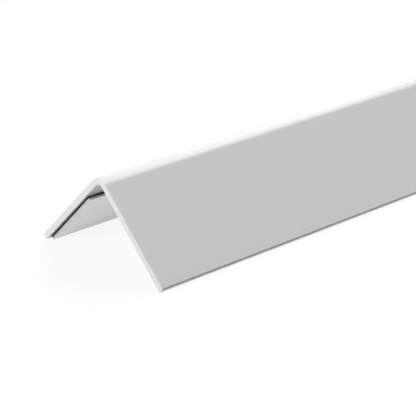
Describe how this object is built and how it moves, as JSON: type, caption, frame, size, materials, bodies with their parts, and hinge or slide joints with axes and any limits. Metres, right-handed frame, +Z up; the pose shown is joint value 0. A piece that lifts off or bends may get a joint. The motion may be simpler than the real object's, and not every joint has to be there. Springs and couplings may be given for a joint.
{
  "type": "corner guard moulding",
  "caption": "Straight right-angle corner guard in white plastic with a rounded nose; foam tape under a release liner inside each leg sticks it over an outside wall corner.",
  "frame": {"origin": "on the floor, under the middle of the piece", "axes": "+X along the stock, +Y across it towards the back leg, +Z up through the nose"},
  "size_m": [1, 0.0422, 0.0209],
  "materials": {
    "white_pvc": "satin, as extruded",
    "black_foam": "matte closed-cell foam",
    "liner_paper": "smooth white coated paper"
  },
  "bodies": {
    "root": {"corner_profile": "white_pvc", "foam_tape_front": "black_foam", "foam_tape_back": "black_foam", "release_liner_front": "liner_paper", "release_liner_back": "liner_paper"}
  },
  "joints": []
}
